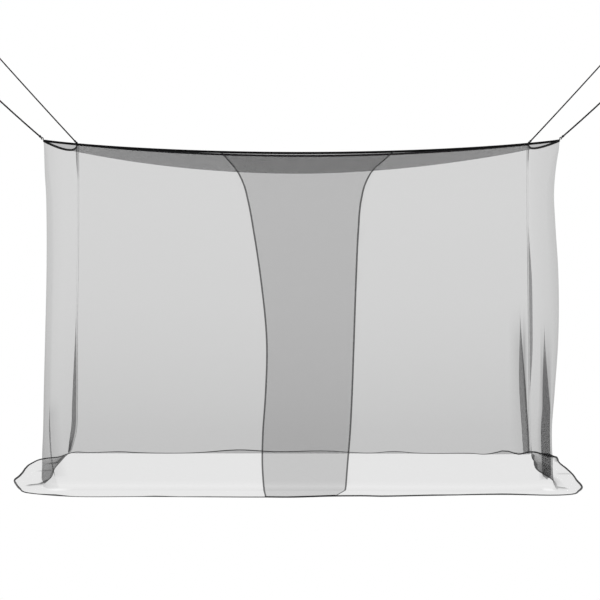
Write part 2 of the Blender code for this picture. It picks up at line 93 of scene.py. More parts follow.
def add_piece(name, points, faces, slot, *materials):
    """A smooth piece that rides on the net, from points about the roof's middle."""
    mesh = bpy.data.meshes.new(name)
    mesh.from_pydata([tuple(Vector(p) + MIDDLE) for p in points], [], faces)
    mesh.shade_smooth()
    for material in materials:
        mesh.materials.append(material)
    piece = bpy.data.objects.new(name, mesh)
    scene.collection.objects.link(piece)
    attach(piece, "root")
    return piece


def finish_of(name, roughness, specular):
    """A new material, with its nodes and its shader."""
    material = bpy.data.materials.new(name)
    material.use_nodes = True
    shader = material.node_tree.nodes["Principled BSDF"]
    shader.inputs["Roughness"].default_value = roughness
    shader.inputs["Specular IOR Level"].default_value = specular
    return material, material.node_tree, shader


def add_node(tree, kind, inputs=None, **settings):
    """A shader node of a kind, with its settings and the values of its inputs."""
    node = tree.nodes.new("ShaderNode" + kind)
    for key, value in settings.items():
        setattr(node, key, value)
    for key, value in (inputs or {}).items():
        node.inputs[key].default_value = value
    return node


def tone_between(tree, dark, light):
    """A node that runs from a dark colour to a lighter one."""
    tone = add_node(tree, "ValToRGB")
    tone.color_ramp.elements[0].color = (*dark, 1)
    tone.color_ramp.elements[1].color = (*light, 1)
    return tone


def join(*links):
    """Joins nodes, each link as node, output, node, input."""
    for start, output, end, entry in links:
        start.id_data.links.new(start.outputs[output], end.inputs[entry])


def cord_finish():
    """Black twisted polyester: matt, with fine fibres that catch a little light."""
    material, tree, shader = finish_of("black cord", 0.62, 0.15)
    shader.inputs["Sheen Weight"].default_value = 0.03
    place = add_node(tree, "TexCoord")
    fibres = add_node(tree, "TexNoise", {"Scale": 900.0, "Detail": 3.0})
    tone = tone_between(tree, (0.0020, 0.0020, 0.0024), (0.0100, 0.0100, 0.0110))
    raised = add_node(tree, "Bump", {"Strength": 0.25, "Distance": 0.0003})
    join(
        (place, "Object", fibres, "Vector"), (fibres, "Fac", tone, "Fac"),
        (fibres, "Fac", raised, "Height"), (tone, "Color", shader, "Base Color"),
        (raised, "Normal", shader, "Normal"),
    )
    return material


def even_steps(path, step):
    """Points a step apart along a line of points."""
    line = np.array([tuple(p) for p in path])
    runs = np.linalg.norm(np.diff(line, axis=0), axis=1)
    reached = np.concatenate(([0.0], np.cumsum(runs)))
    count = max(int(round(reached[-1] / step)), 2)
    at = np.linspace(0.0, reached[-1], count + 1)
    return np.stack([np.interp(at, reached, line[:, axis]) for axis in range(3)], axis=1), at


def tube_faces(rings, around, closed=False):
    """Faces between rings of points, for a tube or for a band that closes on itself."""
    faces = []
    for i in range(rings if closed else rings - 1):
        here, following = i * around, (i + 1) % rings * around
        for k in range(around):
            m = (k + 1) % around
            faces.append((here + k, here + m, following + m, following + k))
    return faces


def laid_cord(name, path, radius, material, step=CORD_STEP):
    """A cord of laid strands along a path: a lobed section that turns as it runs."""
    line, at = even_steps(path, step)
    ahead = np.gradient(line, axis=0)
    ahead /= np.linalg.norm(ahead, axis=1)[:, None]
    side = Vector(ahead[0]).orthogonal().normalized()
    points = []
    for place, forward, run in zip(line, ahead, at):
        forward = Vector(forward)
        side = (side - forward * side.dot(forward)).normalized()
        across = forward.cross(side)
        for k in range(CORD_AROUND):
            angle = math.tau * k / CORD_AROUND
            twist = math.tau * run / LAY_LENGTH / STRANDS
            lobe = 1 - STRAND_DEPTH / 2
            lobe += STRAND_DEPTH / 2 * math.cos(STRANDS * (angle - twist))
            out = side * math.cos(angle) + across * math.sin(angle)
            points.append(Vector(place) + out * radius * lobe)
    faces = tube_faces(len(line), CORD_AROUND)
    faces.append(tuple(range(CORD_AROUND))[::-1])
    faces.append(tuple(range(len(points) - CORD_AROUND, len(points))))
    return add_piece(name, points, faces, "cord", material)


def rim_height(x, y):
    """Height of the binding's middle line, and of the roof before its belly, over a point."""
    front_sag, back_sag, left_sag, right_sag = 0.048, 0.039, 0.021, 0.014
    front_full, back_full = 0.85, 1.0  # below 1 an edge drops sooner after its corners
    back_rise, rise_kept = 0.011, 10  # the back cords pull up the cloth close to their corners
    back = (y / HALF_Y + 1) / 2
    right = (x / HALF_X + 1) / 2
    long_sag = front_sag + (back_sag - front_sag) * back
    long_full = front_full + (back_full - front_full) * back
    short_sag = left_sag + (right_sag - left_sag) * right
    return (
        CORNER_HEIGHT
        + back_rise * min(back, 1) ** rise_kept * min(abs(x / HALF_X), 1) ** 2
        - long_sag * max(1 - (x / HALF_X) ** 2, 0) ** long_full
        - short_sag * max(1 - (y / HALF_Y) ** 2, 0)
    )


def square_to(run):
    """The level direction across a cord's run, and the upright one that is square to both."""
    level = Vector((run.x, run.y, 0)).normalized()
    sideways = Vector((-level.y, level.x, 0))
    return sideways, run.cross(sideways).normalized()


def corner_frame(name):
    """The middle of a corner's tape loop, and the direction in which its cord runs."""
    side_x, side_y = CORNERS[name]
    run = Vector((side_x * CORD_RUN.x, side_y * CORD_RUN.y, CORD_RUN.z))
    level = Vector((run.x, run.y, 0)).normalized()
    edge = (TAPE_CORNER + TAPE_THICK / 2) * math.cos(math.radians(BEND_STEP / 2))
    middle = Vector((side_x * (HALF_X - TAPE_CORNER), side_y * (HALF_Y - TAPE_CORNER), 0))
    middle += level * TAPE_CORNER
    middle.z = rim_height(middle.x, middle.y) + TAPE_HEIGHT / 2
    middle += level * (edge - TAPE_CORNER)
    return middle + run * (GAP + LOOP_RADIUS + LOOP_BAR), run


def cord_route(name):
    """The cord's points from its loop to its eye, taut, with a slight sag."""
    middle, run = corner_frame(name)
    start = middle + run * (LOOP_RADIUS + LOOP_BAR + GAP)
    length = CORD_LENGTHS[name]
    route = []
    for k in range(CORD_POINTS):
        share = k / (CORD_POINTS - 1)
        point = start + run * length * share
        point.z -= CORD_SAG * 4 * share * (1 - share)
        route.append(point)
    return route


def wraps(middle, run, radius, turns, length, backwards=False):
    """Turns of cord wound tightly round a straight piece of it."""
    side = run.orthogonal().normalized()
    across = run.cross(side)
    points = []
    for k in range(turns * WRAP_POINTS + 1):
        share = k / (turns * WRAP_POINTS)
        angle = math.tau * turns * share
        way = (0.5 - share if backwards else share - 0.5) * length
        points.append(middle + run * way + (side * math.cos(angle) + across * math.sin(angle)) * radius)
    return points


black_cord = cord_finish()
for corner in CORNERS:
    route = cord_route(corner)
    loop_middle, run = corner_frame(corner)
    cord = laid_cord("cord_" + corner + "_laid", route, CORD_DIAMETER / 2, black_cord)
    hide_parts("cord_" + corner)

    # the tie at the tape loop: through the loop, back, and round the standing cord
    through = square_to(run)[1]
    tie_top = route[0] + run * TIE_RISE
    tie_path = [tie_top, loop_middle + through * TIE_HALF + run * TIE_AHEAD, loop_middle - run * TIE_BACK]
    tie_path.append(loop_middle - through * TIE_HALF + run * TIE_AHEAD)
    tie_path += wraps(tie_top, run, WRAP_RADIUS * TIE_WRAP, TIE_TURNS, TIE_LENGTH)
    tie = laid_cord("tie_" + corner, tie_path, TIE_RADIUS, black_cord, TIE_STEP)

    # the eye: on from the cord's end, round, back to the knot and wound round the cord
    end_run = (route[-1] - route[-2]).normalized()
    knot = route[-1] + end_run * (GAP + KNOT_RADIUS)
    upright = square_to(end_run)[1]
    eye_path = [route[-1]]
    for k in range(EYE_POINTS + 1):
        angle = math.tau * k / EYE_POINTS
        forward = EYE_RADIUS * (1 - math.cos(angle))
        eye_path.append(knot + end_run * forward + upright * EYE_RADIUS * math.sin(angle))
    eye_path += wraps(knot, end_run, WRAP_RADIUS, WRAP_TURNS, WRAP_LENGTH, backwards=True)
    eye = laid_cord("eye_" + corner + "_tied", eye_path, CORD_DIAMETER / 2, black_cord)
    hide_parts("eye_" + corner)

# ---------------------------------------------------------------- wall
# One strip of knitted netting goes all the way round, from the left flap's free edge to that of
# the right flap, which hangs over it in front. Its top is sewn into the binding, its foot lies
# spread on the floor, and its free edges are turned under and stitched.
NET_THICK, SIDE_BOW, BACK_RADIUS, FOOT_RADIUS = 0.002, 0.022, 0.008, 0.010

# The wall at several heights: its corners, the two flaps' free edges and how far apart the flaps
# hang, and the radii of the upright front corners.
SECTIONS = (
    # height, front, back, f_left, b_left, b_right, f_right, inner, outer, flap_gap, r_left, r_right
    (0.000, -0.400, 0.388, -1.034, -1.038, 1.024, 1.012, 0.173, -0.144, 0.0100, 0.120, 0.013),
    (0.100, -0.400, 0.391, -1.028, -1.012, 1.013, 0.985, 0.180, -0.150, 0.0100, 0.085, 0.010),
    (0.230, -0.400, 0.393, -1.017, -1.006, 1.008, 0.976, 0.190, -0.148, 0.0100, 0.058, 0.010),
    (0.380, -0.400, 0.395, -1.011, -1.004, 1.006, 0.985, 0.197, -0.138, 0.0094, 0.050, 0.014),
    (0.600, -0.400, 0.397, -1.002, -1.002, 1.003, 0.999, 0.204, -0.132, 0.0084, 0.045, 0.026),
    (0.860, -0.400, 0.399, -0.993, -0.995, 0.997, 0.997, 0.212, -0.155, 0.0070, 0.045, 0.036),
    (1.050, -0.400, 0.401, -0.990, -0.992, 0.993, 0.983, 0.220, -0.182, 0.0056, 0.044, 0.036),
    (1.170, -0.401, 0.402, -0.990, -0.991, 0.991, 0.976, 0.230, -0.203, 0.0046, 0.040, 0.032),
    (1.240, -0.402, 0.403, -0.992, -0.990, 0.991, 0.979, 0.247, -0.221, 0.0040, 0.032, 0.026),
    (1.300, -0.403, 0.404, -0.991, -0.990, 0.990, 0.985, 0.282, -0.252, 0.0034, 0.022, 0.018),
    (1.330, -0.404, 0.405, -0.990, -0.990, 0.990, 0.989, 0.316, -0.277, 0.0030, 0.014, 0.012),
    (1.360, -0.405, 0.405, -0.990, -0.990, 0.990, 0.990, 0.348, -0.303, 0.0028, 0.008, 0.008),
)

# Dents that the wall takes towards the floor
DENTS = (
    # x, y, reach, move_x, move_y, height
    (-1.030, -0.165, 0.12, 0.018, 0.000, 0.16),
    (1.000, 0.030, 0.17, -0.040, 0.000, 0.20),
    (1.008, 0.270, 0.09, -0.017, 0.000, 0.14),
    (1.000, -0.400, 0.12, -0.014, 0.030, 0.14),
    (-1.034, -0.320, 0.06, -0.008, 0.000, 0.10),
    (-1.034, -0.330, 0.08, 0.014, 0.000, 0.03),
)

# The hem on the floor. "along" counts the panels passed on the way round from the inner flap's
# free edge: 0 to 1 is the inner flap, 1 to 2 the left side, 2 to 3 the back, 3 to 4 the right
# side and 4 to 5 the outer flap.
HEM = (
    # along, x, y
    (0.00, 0.131, -0.514), (0.10, 0.020, -0.530), (0.55, -0.580, -0.530), (0.85, -0.900, -0.526),
    (0.93, -0.972, -0.506),
    (1.00, -1.064, -0.464), (1.08, -1.101, -0.404), (1.17, -1.131, -0.328), (1.27, -1.160, -0.222),
    (1.33, -1.157, -0.158), (1.40, -1.158, -0.090), (1.54, -1.165, 0.025), (1.70, -1.161, 0.135),
    (1.80, -1.141, 0.228), (1.86, -1.111, 0.262), (1.92, -1.067, 0.292), (1.97, -1.046, 0.360),
    (2.00, -1.020, 0.412), (2.06, -0.940, 0.406), (2.11, -0.821, 0.428), (2.16, -0.733, 0.403),
    (2.28, -0.470, 0.406), (2.36, -0.294, 0.474), (2.45, -0.118, 0.432), (2.55, 0.100, 0.456),
    (2.65, 0.320, 0.408), (2.69, 0.408, 0.448), (2.73, 0.496, 0.410), (2.86, 0.747, 0.402),
    (2.92, 0.825, 0.384), (2.942, 0.868, 0.424), (2.954, 0.908, 0.466), (2.966, 0.933, 0.416),
    (2.980, 0.953, 0.372), (2.995, 0.985, 0.398),
    (3.010, 1.010, 0.428), (3.035, 1.045, 0.418), (3.060, 1.062, 0.378), (3.085, 1.080, 0.344),
    (3.110, 1.096, 0.300), (3.130, 1.114, 0.304), (3.180, 1.108, 0.196), (3.300, 1.109, 0.120),
    (3.42, 1.114, 0.052), (3.55, 1.118, -0.080), (3.70, 1.113, -0.205), (3.86, 1.106, -0.362),
    (3.95, 1.081, -0.424),
    (4.02, 1.053, -0.472), (4.08, 0.990, -0.494), (4.20, 0.790, -0.484), (4.40, 0.530, -0.502),
    (4.60, 0.300, -0.526), (4.75, 0.120, -0.534), (4.92, -0.050, -0.556), (5.00, -0.135, -0.552),
)

# The standing folds. A pleat lays the cloth over itself, and stands on a panel at an x that may
# drift from top to foot. A fin is pinched out of a corner at a share of it, and turned in degrees
# from +X. A fold closes from the height "begins" to "full" and opens from "still_full" to "ends".
# Closed, its cloth stops the share of the light in its second to last field, and a pleat's right edge or
# a fin's foot stops the last field's share more; both are partly the fold's real layers of cloth and
# partly painted shade in the fold.
Fold = namedtuple("Fold", "name form on top foot width turn begins full still_full ends packed edge")
FOLDS = (
    Fold("front_left", "fin", 0, 0.19, 0.19, 0.012, 245, 0.40, 0.22, 0.080, 0.034, 0.32, 0.00),
    Fold("back_left_top", "fin", 1, 0.50, 0.50, 0.009, 175, 1.50, 1.40, 1.34, 1.160, 0.36, 0.00),
    Fold("back_left", "fin", 1, 0.50, 0.50, 0.022, 180, 0.76, 0.12, 0.10, -0.070, 0.43, 0.30),
    Fold("back_right_top", "fin", 2, 0.50, 0.50, 0.006, 5, 1.50, 1.40, 1.34, 1.240, 0.36, 0.00),
    Fold("back_right_fin", "fin", 2, 0.50, 0.50, 0.016, 0, 1.10, 0.72, 0.50, 0.180, 0.34, 0.00),
    Fold("back_right_pleat", "pleat", 2, 0.962, 1.000, 0.028, 0, 0.74, 0.26, -0.01, -0.020, 0.36, 0.18),
    Fold("front_right", "pleat", 4, 0.939, 0.978, 0.033, 0, 0.78, 0.22, 0.060, 0.038, 0.42, 0.00),
)
PLEAT_LAYER, PLEAT_SPREAD = 0.0055, 0.029  # between a pleat's layers, and its width laid open
FIN_LAYER, FIN_SPREAD = 0.006, 0.010
LAYERS_PART = 0.2  # how far a pleat has closed when its layers lie their full way apart
# A pleat and a fin in plan: step, along the wall in widths, and out of it in layers or in depths
PLEAT_SHAPE = (
    (0, -0.50, -1.0), (1, 0.42, -1.0), (2, 0.50, -0.5), (3, 0.42, 0.0), (4, -0.42, 0.0),
    (5, -0.50, 0.5), (6, -0.42, 1.0), (7, 0.50, 1.0),
)
FIN_SHAPE = (
    (0, 0.0, 0.00), (1, -0.5, 0.25), (2, -0.5, 0.80), (3, 0.0, 1.00), (4, 0.5, 0.80),
    (5, 0.5, 0.25), (6, 0.0, 0.00),
)
FOLD_LAYERS, FOLD_RISE = 3, 0.0012  # layers of a closed fold, and what each lifts its foot
LIFT = NET_THICK + 2 * GAP  # of the outer flap where it lies on the inner one
LIFT_STARTS, LIFT_FULL = 4.58, 4.66  # along
HEM_WIDTH = 0.008  # of the turned edges of the flaps, half of it beyond the solid's edge

# The grid that the wall is made of: its columns run down from the binding, then out to the hem
WALL_ROWS, FLOOR_ROWS = 64, 20
ROW_SPREAD = 0.92  # below 1 the rows stand closer towards the foot
TUCKED = 0.005  # height of the top edge that is hidden in the binding
LOW_ROWS = 0.120  # height below which the rows are LOW_STEP apart
LOW_STEP, LOW_COUNT = 0.008, 12
LAST_ROWS = (0.025, 0.020, 0.016)
FOOT_TURNS = (0, 18, 36, 54, 72, 90)  # degrees of the bend on to the floor
ROLL_TURNS = (-45, 0, 45, 90, 135, 180, 225)  # and of the rolled hem
FOLD_PARTS = 3  # columns to one step of a fold's shape
CORNER_ROOM = 0.04  # share of a panel taken by half of each corner it ends at
PLEAT_ROOM = 0.02  # share of a panel kept clear of other columns each side of a pleat
FIN_SHARE, FIN_ROOM = 0.4, 0.22  # share of a corner taken by a fin, and kept clear each side
SIDE_COLUMNS, SIDE_STEP = 36, 0.010  # of a short side: the first half close to its front corner
BACK_COLUMNS, FLAP_COLUMNS, CORNER_COLUMNS = 72, 44, 8
FLAP_LENGTH, FLAP_STEP, FLAP_EDGE = 1.34, 0.0052, 0.02
CALM_ENDS = 0.06  # share of a panel at each end over which its waves die out
INNER_CROSSED, OUTER_CROSSED = (0.290, 0.530), (0.480, 0.730)  # shares where the other's edge runs

# The hem on the floor is rolled, and bunched up where the cloth turns its corners
HEM_ROLL = (
    # along, radius
    (0.00, 0.0030), (0.10, 0.0026), (0.18, 0.0020), (0.38, 0.0019), (0.46, 0.0014), (0.53, 0.0024),
    (0.58, 0.0014), (0.82, 0.0013), (0.90, 0.0032), (0.96, 0.0018),
    (1.00, 0.0022), (1.10, 0.0042), (1.45, 0.0042), (1.65, 0.0034), (1.90, 0.0024),
    (2.05, 0.0013), (2.15, 0.0018), (2.25, 0.0013), (2.34, 0.0022), (2.44, 0.0020), (2.62, 0.0013),
    (2.90, 0.0013), (2.95, 0.0024),
    (3.00, 0.0032), (3.06, 0.0038), (3.08, 0.0058), (3.105, 0.0085), (3.125, 0.0040),
    (3.15, 0.0036), (3.30, 0.0034), (3.60, 0.0034), (3.85, 0.0044), (3.98, 0.0032),
    (4.04, 0.0020), (4.12, 0.0021), (4.20, 0.0030), (4.27, 0.0026), (4.34, 0.0023), (4.42, 0.0029),
    (5.00, 0.0029),
)

# How much light one layer of net stops by height, in the two flaps and in the rest of the wall
FLAP_DENSITY = (
    (0.000, 0.235), (0.010, 0.190), (0.018, 0.175), (0.026, 0.200), (0.040, 0.220), (1.360, 0.212),
)
WALL_DENSITY = (
    (0.00, 0.312), (0.11, 0.297), (0.24, 0.264), (0.46, 0.223), (0.69, 0.192), (1.13, 0.169),
    (1.36, 0.169),
)
# What the net stops more than that where it turns a front corner and runs on down the side
SIDE_DENSITY = (
    # along, more
    (0.955, 0.000), (0.975, 0.030), (0.995, 0.070), (1.020, 0.100), (1.040, 0.090), (1.120, 0.040),
    (1.250, 0.012), (1.400, 0.000), (3.150, 0.000), (3.500, 0.030), (3.800, 0.060), (3.950, 0.085),
    (3.990, 0.080), (4.020, 0.040), (4.050, 0.000),
)
# What the short sides stop more at their foot, partly for the cloth gathered there and partly as painted
# shade, and up to what height
GATHERS_AND_SHADE = (
    # along, height, more
    (0.98, 0.000, 0.00), (1.04, 0.100, 0.12), (1.50, 0.060, 0.16), (1.94, 0.012, 0.14),
    (2.00, 0.000, 0.00), (3.00, 0.000, 0.00), (3.06, 0.012, 0.26), (3.94, 0.090, 0.20),
    (4.00, 0.000, 0.00),
)
# Painted shade along the foot: what it stops more where it turns on to the floor, by "along"
FOOT_SHADE = (
    (0.96, 0.00), (1.03, 0.00), (1.12, 0.18), (1.94, 0.18), (2.02, 0.00), (2.98, 0.00),
    (3.06, 0.25), (3.70, 0.30), (3.90, 0.05), (4.00, 0.00),
)
OVERLAP_SHADE, OVERLAP_BLUR = 0.035, 0.006  # painted shade, more where the two flaps lie close together
FLOOR_DENSITY, FRONT_FLOOR_DENSITY = 0.218, 0.200
FRONT_FLOOR, FRONT_BLUR = -0.38, 0.06  # y in front of which the floor's cloth is lighter
FLOOR_FOLD = 0.35  # share of the floor's depth over which a fold's foot opens out
SIDE_FOOT, GATHER_SHADE_BLUR = 0.05, 0.012
FOLD_DARKENS = 1.5  # how much sooner a fold is dark than closed, as painted shade in the fold while it forms
HEM_STOPS = 0.82  # of the light, by a turned and stitched edge
FIN_FOOT = 0.09  # height below which a fin's foot is darker, partly for its cloth gathered there and partly as painted shade
PLEAT_EDGE, EDGE_BLUR = 0.22, 0.15  # along a pleat, in its widths, where its darker right edge starts, partly the turned cloth and partly painted shade
# Creases in the cloth on the floor, from the foot of the wall outwards. Each lifts the cloth a little and
# darkens it, partly for its real layers of cloth and partly as painted shade.
CREASES = (
    # half width, more density (partly painted shade), height, points
    (0.0115, 0.62, 0.004, ((-1.013, -0.193), (-1.025, -0.236), (-1.038, -0.294), (-1.077, -0.317))),
    (0.0130, 0.50, 0.004, ((-1.083, 0.139), (-1.063, 0.149), (-1.047, 0.179), (-1.046, 0.316))),
    (0.0120, 0.30, 0.002, ((-1.086, -0.019), (-1.053, -0.007))),
    (0.0110, 0.45, 0.004, ((0.997, -0.300), (1.007, -0.341), (1.034, -0.358))),
    (0.0110, 0.25, 0.003, ((1.067, -0.063), (1.102, -0.063))),
    (0.0180, 0.75, 0.004, ((1.080, 0.399), (1.085, 0.351), (1.102, 0.315))),
    (0.0120, 0.60, 0.003, ((1.102, 0.315), (1.121, 0.327), (1.107, 0.208))),
)


def smooth(value):
    """0 to 1 with a soft start and a soft end."""
    value = min(max(value, 0.0), 1.0)
    return value * value * (3 - 2 * value)


@lru_cache(maxsize=None)
def curve_table(rows):
    """A table's first column, its other columns, and their slopes."""
    table = np.array(rows, float)
    return table[:, 0], table[:, 1:], np.gradient(table[:, 1:], table[:, 0], axis=0)


def curve_through(rows, at):
    """The columns after the first, read at a value of the first from a smooth curve."""
    key, values, slopes = curve_table(rows)
    i = int(np.clip(np.searchsorted(key, at) - 1, 0, len(key) - 2))
    step = key[i + 1] - key[i]
    s = min(max((at - key[i]) / step, 0.0), 1.0)
    return (
        (2 * s**3 - 3 * s**2 + 1) * values[i]
        + (s**3 - 2 * s**2 + s) * step * slopes[i]
        + (3 * s**2 - 2 * s**3) * values[i + 1]
        + (s**3 - s**2) * step * slopes[i + 1]
    )


def line_through(rows, at, column=1):
    """A column, read at a value of the first along straight lines."""
    return float(np.interp(at, [row[0] for row in rows], [row[column] for row in rows]))


def fold_shut(fold, height):
    """How far a fold is closed at a height: 0 where the cloth lies open, 1 where it is full."""
    closing = smooth((fold.begins - height) / (fold.begins - fold.full))
    return closing * smooth((height - fold.ends) / (fold.still_full - fold.ends))


def fold_at(folds, height):
    """The one of a column's folds that is most closed at a height, and how far."""
    fold = max(folds, key=lambda each: fold_shut(each, height))
    return fold, fold_shut(fold, height)


def fold_place(fold, height):
    """Where a fold stands at a height: an x for a pleat, a share of the corner for a fin."""
    return fold.foot + (fold.top - fold.foot) * (1 - (1 - min(height / fold.begins, 1)) ** 2)


@lru_cache(maxsize=None)
def plan_of(height):
    """The wall's five panels at a height as (start, end), each without its rounded corners, the
    centre and radius of each corner, and the two flaps' free edges."""
    front, back, fl, bl, br, fr, inner, outer, gap, left, right = curve_through(SECTIONS, height)
    inner, outer = inner + HEM_WIDTH / 2, outer - HEM_WIDTH / 2
    near, far = front + gap / 2, front - gap / 2
    bend_left, bend_right, deep = bl + BACK_RADIUS, br - BACK_RADIUS, back - BACK_RADIUS
    panels = (
        ((inner, near), (fl + left, near)),
        ((fl, near + left), (bl, deep)),
        ((bend_left, back), (bend_right, back)),
        ((br, deep), (fr, far + right)),
        ((fr - right, far), (outer, far)),
    )
    corners = (
        ((fl + left, near + left), left),
        ((bend_left, deep), BACK_RADIUS),
        ((bend_right, deep), BACK_RADIUS),
        ((fr - right, far + right), right),
    )
    return panels, corners, (inner, outer)


def straight_part(index):
    """A panel's share before its straight part, and the share of that part."""
    before = CORNER_ROOM if index > 0 else 0
    after = CORNER_ROOM if index < 4 else 0
    return before, 1 - before - after


def panel_share(along):
    """A column's share of the way along its panel."""
    index = min(int(along), 4)
    before, straight = straight_part(index)
    return index, min(max((along - index - before) / straight, 0.0), 1.0)


def panel_point(height, panels, index, share):
    """A point of a panel's middle line in plan, with the outward direction there."""
    start, end = (Vector((*p, 0)) for p in panels[index])
    ahead = (end - start).normalized()
    out = Vector((-ahead.y, ahead.x, 0))
    point = start.lerp(end, share)
    if index in (1, 3):  # the short sides bow inwards, most at the top
        point -= out * SIDE_BOW * 4 * share * (1 - share) * smooth(height / CORNER_HEIGHT) ** 2
    return point, out


def corner_point(corners, index, share):
    """A point of an upright rounded corner in plan."""
    (x, y), radius = corners[index]
    angle = math.radians(-90 - 90 * index - 90 * share)
    return Vector((x + radius * math.cos(angle), y + radius * math.sin(angle), 0))


def panel_shares(index):
    """Shares of a panel where columns stand: closer near the front corners, and on each flap
    closer where the other flap's free edge runs."""
    if index in (1, 3):
        close = SIDE_STEP * (SIDE_COLUMNS - 1)
        shares = [SIDE_STEP * k for k in range(SIDE_COLUMNS)]
        shares += [close + (1 - close) * k / SIDE_COLUMNS for k in range(1, SIDE_COLUMNS + 1)]
        return shares if index == 1 else [1 - s for s in shares[::-1]]
    if index == 2:
        return [k / BACK_COLUMNS for k in range(BACK_COLUMNS + 1)]
    shares = [0.0, HEM_WIDTH / FLAP_LENGTH]
    shares += [FLAP_EDGE + (1 - FLAP_EDGE) * k / FLAP_COLUMNS for k in range(FLAP_COLUMNS + 1)]
    shares += list(np.arange(*(INNER_CROSSED if index == 0 else OUTER_CROSSED), FLAP_STEP))
    return shares if index == 0 else [1 - s for s in shares[::-1]]


Column = namedtuple("Column", "along kind detail")


def wall_columns():
    """The wall's columns in order, a fold's with its folds and the step of its shape."""
    made = []
    for index in range(5):
        before, straight = straight_part(index)
        shares = panel_shares(index)
        for pleat in (fold for fold in FOLDS if fold.form == "pleat" and fold.on == index):
            (start, _), (end, _) = plan_of(pleat.full)[0][index]
            middle = (pleat.top - start) / (end - start)
            shares = [s for s in shares if abs(s - middle) > PLEAT_ROOM]
            steps = (len(PLEAT_SHAPE) - 1) * FOLD_PARTS
            for k in range(steps + 1):
                place = middle + (k / steps - 0.5) * PLEAT_SPREAD / abs(end - start)
                made.append((index + before + place * straight, "pleat", ((pleat,), k / FOLD_PARTS)))
        for share in shares:
            at_corner = (share <= 0.0 and index > 0) or (share >= 1.0 and index < 4)
            if not at_corner:
                made.append((index + before + share * straight, "panel", None))
    for index in range(4):
        fins = tuple(fold for fold in FOLDS if fold.form == "fin" and fold.on == index)
        shares = [k / CORNER_COLUMNS for k in range(CORNER_COLUMNS + 1)]
        if fins:
            shares = [s for s in shares if abs(s - fins[0].top) > FIN_ROOM]
        for share in shares:
            made.append((index + 1 + (2 * share - 1) * CORNER_ROOM, "corner", (index, share)))
        steps = (len(FIN_SHAPE) - 1) * FOLD_PARTS if fins else -1
        for k in range(steps + 1):
            share = fins[0].top + (k / steps - 0.5) * FIN_SHARE
            made.append((index + 1 + (2 * share - 1) * CORNER_ROOM, "fin", (fins, k / FOLD_PARTS)))
    return sorted((Column(*each) for each in made), key=lambda column: column.along)


def fin_point(corners, fins, k, height):
    """Where a fin's column stands in plan, on the corner or pinched out of it."""
    fold, shut = fold_at(fins, height)
    index, place = fold.on, fold_place(fold, height)
    radius = corners[index][1]
    last = len(FIN_SHAPE) - 1
    spread = min(FIN_SPREAD / (radius * math.pi / 2), 1.8 * min(place, 1 - place))
    flat = corner_point(corners, index, place + (k / last - 0.5) * spread)
    along, depth = curve_through(FIN_SHAPE, k)
    turn = math.radians(fold.turn)
    out = Vector((math.cos(turn), math.sin(turn), 0))
    ahead = Vector((out.y, -out.x, 0))
    shaped = corner_point(corners, index, place) + ahead * along * FIN_LAYER + out * depth * fold.width
    return flat.lerp(shaped, shut * smooth(min(k, last - k)))


def pleat_point(panels, pleats, k, height):
    """Where a pleat's column stands in plan, laid open or closed."""
    fold, shut = fold_at(pleats, height)
    index = fold.on
    (start, _), (end, _) = panels[index]
    room = max(PLEAT_SPREAD, fold.width) / 2 / abs(end - start)
    share = (fold_place(fold, height) - start) / (end - start)
    centre, out = panel_point(height, panels, index, min(max(share, room), 1 - room))
    ahead = Vector((out.y, -out.x, 0))
    along, layer = curve_through(PLEAT_SHAPE, k)
    open_way = (k / (len(PLEAT_SHAPE) - 1) - 0.5) * PLEAT_SPREAD
    way = (1 - shut) * open_way + shut * along * fold.width
    rise = layer * PLEAT_LAYER * smooth(shut / LAYERS_PART)
    return centre + ahead * way + out * rise


def column_point(column, height):
    """Where a column stands in plan at a height."""
    along, kind, detail = column
    panels, corners, _ = plan_of(height)
    if kind == "panel":
        point = panel_point(height, panels, *panel_share(along))[0]
    elif kind == "corner":
        point = corner_point(corners, *detail)
    elif kind == "fin":
        point = fin_point(corners, *detail, height)
    else:
        point = pleat_point(panels, *detail, height)
    moved = point.copy()
    for x, y, reach, move_x, move_y, below in DENTS:
        near = math.exp(-((point.x - x) ** 2 + (point.y - y) ** 2) / reach**2)
        moved += Vector((move_x, move_y, 0)) * near * smooth(1 - height / below)
    return moved


def hang_wave(along, height):
    """Millimetre waves of slack cloth that run down the wall and deepen towards its foot."""
    slack_top, slack_more, calm_foot, calm_top = 0.0009, 0.0016, 0.10, 0.12
    side_waves, broad_waves, fine_waves = 15.0, 41.0, 93.0  # radians to a panel
    slack = slack_top + slack_more * (1 - height / CORNER_HEIGHT)
    slack *= smooth(height / calm_foot) * smooth((CORNER_HEIGHT - height) / calm_top)
    lean = 1.3 * math.sin(2.1 * height)
    if 1 < along < 2 or 3 < along < 4:  # the short sides hang nearly straight
        return 0.5 * slack * math.sin(side_waves * along + lean)
    fine = math.sin(fine_waves * along + 0.7 + 2.2 * height)
    return slack * (math.sin(broad_waves * along + lean) + 0.6 * fine)


def crease_at(x, y):
    """The density and the height that the floor creases add at a place; the density is partly the
    creases' real layers of cloth and partly painted shade.
    """
    density = height = 0.0
    here = Vector((x, y))
    for half_width, more, rise, points in CREASES:
        nearest = 1.0
        for start, end in zip(points, points[1:]):
            a, b = Vector(start), Vector(end)
            share = min(max((here - a).dot(b - a) / (b - a).length_squared, 0.0), 1.0)
            nearest = min(nearest, (here - a.lerp(b, share)).length)
        near = math.exp(-((nearest / half_width) ** 2))
        density = max(density, more * near)
        height = max(height, rise * near)
    return density, height


def fold_rise(column):
    """How high a folded column's foot lies, on the layers of its fold that are under it."""
    _, kind, detail = column
    if kind == "pleat":
        return FOLD_RISE * (1 + curve_through(PLEAT_SHAPE, detail[1])[1])
    if kind == "fin" and fold_shut(detail[0][-1], 0.0) > 0:
        return FOLD_RISE * (1 + curve_through(FIN_SHAPE, detail[1])[0])
    return 0.0


